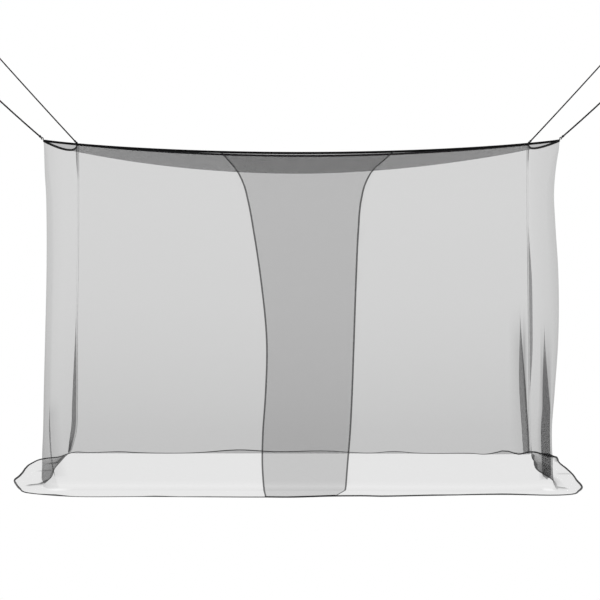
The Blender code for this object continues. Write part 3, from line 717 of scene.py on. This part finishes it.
def overlap_shade(along, x, inner, outer):
    """Painted shade: what a flap stops more where the other one lies close to it, from their free edges.
    """
    if 1 <= along <= 4:
        return 0.0
    inside = x - outer if along < 1 else inner - x
    return OVERLAP_SHADE * smooth(inside / OVERLAP_BLUR + 0.5)


def wall_density_and_shade(column, height, x):
    """How much light the net stops at a place on the wall, with painted shade added at the short sides'
    foot, where the flaps overlap and in the folds.
    """
    along, kind, detail = column
    room, bend = CORNER_ROOM, 2 * CORNER_ROOM
    round_front = smooth((along - (1 - room)) / bend) * smooth((4 + room - along) / bend)
    flap = line_through(FLAP_DENSITY, height)
    density = flap + (line_through(WALL_DENSITY, height) - flap) * round_front
    density += line_through(SIDE_DENSITY, along) * smooth(height / SIDE_FOOT)
    # painted shade at the foot of the short sides, with the cloth gathered there
    gather_shade_height = line_through(GATHERS_AND_SHADE, along)
    if gather_shade_height > 0:
        density += line_through(GATHERS_AND_SHADE, along, 2) * smooth((gather_shade_height - height) / GATHER_SHADE_BLUR)
    # painted shade where the two flaps lie close together
    density += overlap_shade(along, x, *plan_of(height)[2])
    # a closed fold stops more than its cloth laid open: partly its real layers, partly painted shade in
    # the fold
    if kind in ("fin", "pleat"):
        folds, k = detail
        fold, shut = fold_at(folds, height)
        shut = smooth(FOLD_DARKENS * shut)
        density += (max(fold.packed, density) - density) * shut
        if kind == "pleat":
            place = curve_through(PLEAT_SHAPE, k)[0]
            density += fold.edge * shut * smooth((place - PLEAT_EDGE) / EDGE_BLUR)
        else:
            from_ends = min(k, len(FIN_SHAPE) - 1 - k)
            density += fold.edge * smooth(1 - height / FIN_FOOT) * smooth(from_ends)
    return density


def net_finish(name, stops):
    """Black polyester netting, see-through by a knitted mesh of fine threads. The density of each place,
    which carries painted shade in the folds, creases, foot and flap overlap, is kept on the cloth; a
    turned and stitched edge stops nearly all light."""
    material, tree, shader = finish_of(name, 0.88, 0.15)
    mesh_size, mesh_contrast = 0.0032, 0.14

    # the mesh: threads that cross at a slant, counted along and across the cloth
    cloth = add_node(tree, "UVMap", uv_map="cloth")
    parts = add_node(tree, "SeparateXYZ")
    knit = add_node(tree, "Math", operation="ADD")
    join((cloth, "UV", parts, "Vector"))
    for entry, slope in enumerate(("ADD", "SUBTRACT")):
        across = add_node(tree, "Math", operation=slope)
        turns = add_node(tree, "Math", {1: math.tau / mesh_size}, operation="MULTIPLY")
        wave = add_node(tree, "Math", operation="COSINE")
        join((parts, "X", across, 0), (parts, "Y", across, 1), (across, 0, turns, 0))
        join((turns, 0, wave, 0), (wave, 0, knit, entry))

    # the threads' black, a little uneven, and their relief
    uneven = add_node(tree, "TexNoise", {"Scale": 9.0})
    shade = tone_between(tree, (0.009, 0.009, 0.010), (0.020, 0.020, 0.021))
    raised = add_node(tree, "Bump", {"Strength": 0.3, "Distance": 0.0004})
    contrast = add_node(tree, "Math", {1: mesh_contrast / 2, 2: 1.0}, operation="MULTIPLY_ADD")
    opacity = add_node(tree, "Math", operation="MULTIPLY")
    join(
        (cloth, "UV", uneven, "Vector"), (uneven, "Fac", shade, "Fac"),
        (shade, "Color", shader, "Base Color"), (knit, 0, raised, "Height"),
        (raised, "Normal", shader, "Normal"), (knit, 0, contrast, 0),
        (contrast, 0, opacity, 0), (opacity, 0, shader, "Alpha"),
    )
    if stops is None:
        # the density kept on the cloth, with its painted shade
        kept = add_node(tree, "Attribute", attribute_name="threads")
        join((kept, "Fac", opacity, 1))
    else:
        opacity.inputs[1].default_value = stops
    return material


def cloth_piece(name, rows, materials, hem_cells=()):
    """A sheet of net from rows of (x, y, z, density), with its UV in metres of cloth. Cells in
    hem_cells take the second material."""
    grid = np.array(rows, float)
    grid, densities = grid[..., :3], grid[..., 3]
    height, width = densities.shape
    across = np.linalg.norm(np.diff(grid, axis=1), axis=2).mean(axis=0)
    down = np.linalg.norm(np.diff(grid, axis=0), axis=2)
    u = np.concatenate(([0.0], np.cumsum(across)))
    v = np.concatenate((np.zeros((1, width)), np.cumsum(down, axis=0)))
    uvs = np.stack([np.broadcast_to(u, (height, width)), -v], axis=2).reshape(-1, 2)
    firsts = (j * width + i for j in range(height - 1) for i in range(width - 1))
    faces = [(a, a + width, a + width + 1, a + 1) for a in firsts]
    piece = add_piece(name, grid.reshape(-1, 3), faces, "net", *materials)
    mesh = piece.data
    layer = mesh.uv_layers.new(name="cloth")
    layer.data.foreach_set("uv", uvs.astype(np.float32)[np.ravel(faces)].ravel())
    # the net's density at each point, painted shade included
    kept = mesh.attributes.new("threads", "FLOAT", "POINT")
    kept.data.foreach_set("value", densities.astype(np.float32).ravel())
    slots = np.zeros(len(faces), dtype=np.int32)
    for j, i in hem_cells:
        slots[j * (width - 1) + i] = 1
    mesh.polygons.foreach_set("material_index", slots)
    return piece


net = net_finish("black net", None)
hem = net_finish("black net turned edge", HEM_STOPS)

strip = wall_columns()
places = (column_point(column, CORNER_HEIGHT) for column in strip)
tops = [rim_height(place.x, place.y) - TAPE_HEIGHT / 2 for place in places]
levels = [CORNER_HEIGHT * (1 - (k / WALL_ROWS) ** ROW_SPREAD) for k in range(WALL_ROWS)]
levels = [level for level in levels if level > LOW_ROWS + LOW_STEP / 2]
levels += [LOW_ROWS - LOW_STEP * k for k in range(LOW_COUNT)]
levels += LAST_ROWS

wall_rows = []
for number, level in enumerate([CORNER_HEIGHT] + levels):
    row = []
    for column, top in zip(strip, tops):
        place = column_point(column, level)
        index, share = panel_share(column.along)
        if column.kind == "panel" and FLAP_EDGE < column.along < 5 - FLAP_EDGE:
            out = Vector((0, 1, 0)) if index in (0, 2, 4) else Vector((1, 0, 0))
            calm = smooth(share / CALM_ENDS) * smooth((1 - share) / CALM_ENDS)
            place += out * hang_wave(column.along, level) * calm
        z = top * level / CORNER_HEIGHT + (TUCKED if number == 0 else 0.0)
        row.append((place.x, place.y, z, wall_density_and_shade(column, level, place.x)))
    wall_rows.append(row)

laid = []
for column in strip:
    foot, end = column_point(column, 0.0), Vector((*curve_through(HEM, column.along), 0))
    lift = LIFT * smooth((column.along - LIFT_STARTS) / (LIFT_FULL - LIFT_STARTS))
    laid.append((column, foot, end, NET_THICK / 2 + lift))
for turned in FOOT_TURNS:
    angle = math.radians(turned)
    row = []
    for column, foot, end, low in laid:
        out = foot + (end - foot).normalized() * FOOT_RADIUS * (1 - math.cos(angle))
        z = low + FOOT_RADIUS * (1 - math.sin(angle)) + fold_rise(column)
        density = wall_density_and_shade(column, FOOT_RADIUS * (1 - turned / 90), out.x)
        if column.kind in ("fin", "pleat"):
            density += (FLOOR_DENSITY / FOLD_LAYERS - density) * smooth(turned / 90)
        # with painted shade along the foot line
        row.append((out.x, out.y, z, density + line_through(FOOT_SHADE, column.along)))
    wall_rows.append(row)
inner_foot, outer_foot = SECTIONS[0][7:9]
inner_hem, outer_hem = HEM[0][1], HEM[-1][1]
for step in range(1, FLOOR_ROWS + 1):
    share = step / FLOOR_ROWS
    row = []
    for column, foot, end, low in laid:
        run = end - foot
        roll = line_through(HEM_ROLL, column.along)
        reach = FOOT_RADIUS + share * (run.length - FOOT_RADIUS - roll)
        out = foot + run.normalized() * reach
        # a crease lifts the cloth, and darkens it partly for its real layers and partly as painted shade
        more, rise = crease_at(out.x, out.y)
        front = smooth((FRONT_FLOOR - out.y) / FRONT_BLUR)
        density = FLOOR_DENSITY + (FRONT_FLOOR_DENSITY - FLOOR_DENSITY) * front
        inner = inner_foot + (inner_hem - inner_foot) * share
        outer = outer_foot + (outer_hem - outer_foot) * share
        # painted shade where the two flaps lie close together
        density += overlap_shade(column.along, out.x, inner, outer)
        if column.kind in ("fin", "pleat"):
            density *= (1 + (FOLD_LAYERS - 1) * smooth(share / FLOOR_FOLD)) / FOLD_LAYERS
        # painted shade along the foot, fading over the first third of the floor's rows
        more += line_through(FOOT_SHADE, column.along) * max(1 - 3 * step / FLOOR_ROWS, 0)
        row.append((out.x, out.y, low + rise + fold_rise(column) * (1 - share), density + more))
    wall_rows.append(row)
hem_starts = len(wall_rows) - 1
for turned in ROLL_TURNS:
    angle = math.radians(turned)
    row = []
    for column, foot, end, low in laid:
        roll = line_through(HEM_ROLL, column.along)
        out = end - (end - foot).normalized() * roll * (1 - math.cos(angle))
        row.append((out.x, out.y, low + roll * (1 + math.sin(angle)), HEM_STOPS))
    wall_rows.append(row)

last = len(strip) - 2
cells = ((j, i) for j in range(len(wall_rows) - 1) for i in range(last + 1))
edge_cells = [(j, i) for j, i in cells if j >= hem_starts or i in (0, last)]
wall = cloth_piece("wall_net_hung", wall_rows, (net, hem), edge_cells)
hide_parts("wall_net")

# ---------------------------------------------------------------- roof
# The roof is one rectangle of the same netting, cut a little full, so it hangs in a shallow belly
# below the binding that its edges are sewn into.
ROOF_COLUMNS, ROOF_ROWS = 110, 48
ROOF_EDGE = 0.0012  # from the binding's middle line to the roof's edge, inside the binding
BELLY = 0.061
BELLY_LEFT, BELLY_RIGHT = 2.0, 1.8  # below these the belly narrows sooner towards that end
CORNER_KEPT = 12  # how close to its corner the roof draws in, to clear the binding's bend
CORNER_IN, CORNER_BACK = 0.003, 0.007
ROOF_DENSITY = 0.397

roof_rows = []
for j in range(ROOF_ROWS + 1):
    across = 1 - 2 * j / ROOF_ROWS
    row = []
    for i in range(ROOF_COLUMNS + 1):
        along = math.sin(math.pi / 2 * (2 * i / ROOF_COLUMNS - 1))
        x = along * (HALF_X - SIDE_BOW * (1 - across**2) - ROOF_EDGE)
        y = across * (HALF_Y - ROOF_EDGE)
        full = BELLY_LEFT if along < 0 else BELLY_RIGHT
        belly = BELLY * (1 - abs(along) ** full) * (1 - across**2)
        corner = max(abs(along) + abs(across) - 1, 0) ** CORNER_KEPT
        place = (x * (1 - CORNER_IN * corner), y * (1 - CORNER_BACK * corner))
        row.append((*place, rim_height(x, y) - belly, ROOF_DENSITY))
    roof_rows.append(row)
roof = cloth_piece("roof_net_hung", roof_rows, (net,))
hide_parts("roof_net")

# ---------------------------------------------------------------- binding
# A woven tape is folded over the edges of the roof and the wall and stitched through, all the way
# round. It carries the net, and sags between the corners.
TAPE_SIDE = (
    # outwards, up, from the fold along the top down the outer face to the cut edge
    (0.0000, 0.0045), (0.0012, 0.0042), (0.0019, 0.0032), (0.0020, 0.0011), (0.0018, -0.0013),
    (0.0014, -0.0024), (0.0019, -0.0035), (0.0017, -0.0043), (0.0000, -0.0042),
)
TAPE_PROFILE = TAPE_SIDE + tuple((-out, rise) for out, rise in TAPE_SIDE[-2:0:-1])
LONG_STEPS, SHORT_STEPS, BEND_STEPS = 160, 72, 8
STITCH_LENGTH, STITCH_GAP, STITCH_THREAD = 0.0026, 0.0010, 0.0004
STITCH_RISE, STITCH_OUT, STITCH_SUNK = -0.0024, 0.0017, 0.0003
# A stitch: the share of its length, and how proud of the tape
STITCH_SHAPE = ((0.00, 0.0), (0.25, 1.0), (0.75, 1.0), (1.00, 0.0))


def tape_finish():
    """Black woven tape: ribs across it, and fine threads along it."""
    material, tree, shader = finish_of("black tape", 0.75, 0.06)
    place = add_node(tree, "TexCoord")
    ribs = add_node(tree, "TexWave", {"Scale": 260.0, "Distortion": 0.6}, bands_direction="DIAGONAL")
    fibres = add_node(tree, "TexNoise", {"Scale": 700.0})
    both = add_node(tree, "Math", operation="MULTIPLY")
    tone = tone_between(tree, (0.0012, 0.0012, 0.0014), (0.0060, 0.0060, 0.0066))
    raised = add_node(tree, "Bump", {"Strength": 0.35, "Distance": 0.0003})
    join(
        (place, "Object", ribs, "Vector"), (place, "Object", fibres, "Vector"),
        (ribs, "Fac", both, 0), (fibres, "Fac", both, 1),
        (both, 0, tone, "Fac"), (both, 0, raised, "Height"),
        (tone, "Color", shader, "Base Color"), (raised, "Normal", shader, "Normal"),
    )
    return material


def rim_line():
    """The binding's middle line all the way round, as (point, outward direction)."""
    x, y, a, b = HALF_X, HALF_Y, HALF_X - TAPE_CORNER, HALF_Y - TAPE_CORNER
    edges = (((a, -y), (-a, -y)), ((-x, -b), (-x, b)), ((-a, y), (a, y)), ((x, b), (x, -b)))
    centres = ((-a, -b), (-a, b), (a, b), (a, -b))
    line = []
    for index, (start, end) in enumerate(edges):
        steps = SHORT_STEPS if index in (1, 3) else LONG_STEPS
        ahead = (Vector(end) - Vector(start)).normalized()
        out = Vector((-ahead.y, ahead.x, 0))
        for k in range(1, steps):
            share = k / steps
            point = Vector((*Vector(start).lerp(Vector(end), share), 0))
            if index in (1, 3):
                point -= out * SIDE_BOW * 4 * share * (1 - share)
            point.z = rim_height(point.x, point.y)
            line.append((point, out))
        for k in range(BEND_STEPS + 1):
            angle = math.radians(-90 - 90 * index - 90 * k / BEND_STEPS)
            out = Vector((math.cos(angle), math.sin(angle), 0))
            point = Vector((*centres[index], 0)) + out * TAPE_CORNER
            point.z = rim_height(point.x, point.y)
            line.append((point, out))
    return line


black_tape = tape_finish()
rings = rim_line()
tape_points = []
for point, out in rings:
    tape_points += [point + out * side + Vector((0, 0, rise)) for side, rise in TAPE_PROFILE]
tape_faces = tube_faces(len(rings), len(TAPE_PROFILE), closed=True)
tape = add_piece("top_binding_tape", tape_points, tape_faces, "binding", black_tape)
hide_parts("top_binding")

stitch_points, stitch_faces = [], []
seam, _ = even_steps([point + out * STITCH_OUT for point, out in rings], STITCH_LENGTH + STITCH_GAP)
for place, following in zip(seam, seam[1:]):
    start, end = Vector(place), Vector(following)
    ahead = (end - start).normalized()
    out = Vector((-ahead.y, ahead.x, 0)).normalized()
    up = out.cross(ahead)
    first = len(stitch_points)
    for way, proud in STITCH_SHAPE:
        middle = start + ahead * STITCH_LENGTH * way + Vector((0, 0, STITCH_RISE)) - out * STITCH_SUNK
        middle += out * STITCH_THREAD * proud
        stitch_points += [middle + side * STITCH_THREAD for side in (up, out, -up)]
    for a in range(first, first + 9, 3):
        stitch_faces += [(a, a + 1, a + 4, a + 3), (a + 1, a + 2, a + 5, a + 4)]
add_piece("top_binding_stitches", stitch_points, stitch_faces, "binding", black_tape)

# ---------------------------------------------------------------- corner loops
# A short piece of the same tape is folded into a loop and sewn to each corner of the binding, for
# the cord to be tied to.
RIBBON_WIDTH, RIBBON_THICK, RIBBON_AROUND = 0.0050, 0.0011, 28
DRAWN_DOWN = 0.35  # how much longer the loop is where it is sewn
RIBBON_PROFILE = (
    # across and through, in halves of the ribbon's width and thickness
    (1.0, 0.5), (0.8, 1.0), (-0.8, 1.0), (-1.0, 0.5), (-1.0, -0.5), (-0.8, -1.0), (0.8, -1.0),
    (1.0, -0.5),
)

for corner in CORNERS:
    loop_middle, run = corner_frame(corner)
    sideways, upright = square_to(run)
    loop_points = []
    for i in range(RIBBON_AROUND):
        angle = math.tau * i / RIBBON_AROUND
        stretch = 1 + DRAWN_DOWN * max(-math.cos(angle), 0) ** 2
        outwards = run * math.cos(angle) + upright * math.sin(angle)
        centre = loop_middle + run * LOOP_RADIUS * math.cos(angle) * stretch
        centre += upright * LOOP_RADIUS * math.sin(angle)
        for across, through in RIBBON_PROFILE:
            beside = sideways * across * RIBBON_WIDTH / 2
            loop_points.append(centre + beside + outwards * through * RIBBON_THICK / 2)
    loop_faces = tube_faces(RIBBON_AROUND, len(RIBBON_PROFILE), closed=True)
    loop = add_piece("loop_" + corner + "_tape", loop_points, loop_faces, "binding", black_tape)
    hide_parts("loop_" + corner)

# ---------------------------------------------------------------- floor and light
# A plain white floor under an even white surround, with one large soft lamp above the front.
FLOOR_REACH = 40.0
floor_corners = [(x * FLOOR_REACH, y * FLOOR_REACH, 0.0) for x, y in ((-1, -1), (1, -1), (1, 1), (-1, 1))]
floor_mesh = bpy.data.meshes.new("floor")
floor_mesh.from_pydata(floor_corners, [], [(0, 1, 2, 3)])
floor_finish, _, floor_shader = finish_of("white floor", 0.5, 0.0)
floor_shader.inputs["Base Color"].default_value = (0.0, 0.0, 0.0, 1)
floor_shader.inputs["Emission Color"].default_value = (1.0, 1.0, 1.0, 1)
floor_shader.inputs["Emission Strength"].default_value = 1.0
floor_mesh.materials.append(floor_finish)
floor = bpy.data.objects.new("floor", floor_mesh)
scene.collection.objects.link(floor)

world = bpy.data.worlds.new("white surround")
world.use_nodes = True
world.node_tree.nodes["Background"].inputs["Color"].default_value = (1.0, 1.0, 1.0, 1)
scene.world = world
scene.view_settings.view_transform = "Standard"
scene.cycles.transparent_max_bounces = 32

lamp_data = bpy.data.lights.new("soft lamp", "AREA")
lamp_data.energy = 60.0
lamp_data.size = 3.0
lamp = bpy.data.objects.new("soft lamp", lamp_data)
lamp.location = (-1.2, -3.0, 4.0)
lamp.rotation_euler = (math.radians(38), 0.0, math.radians(-20))
scene.collection.objects.link(lamp)
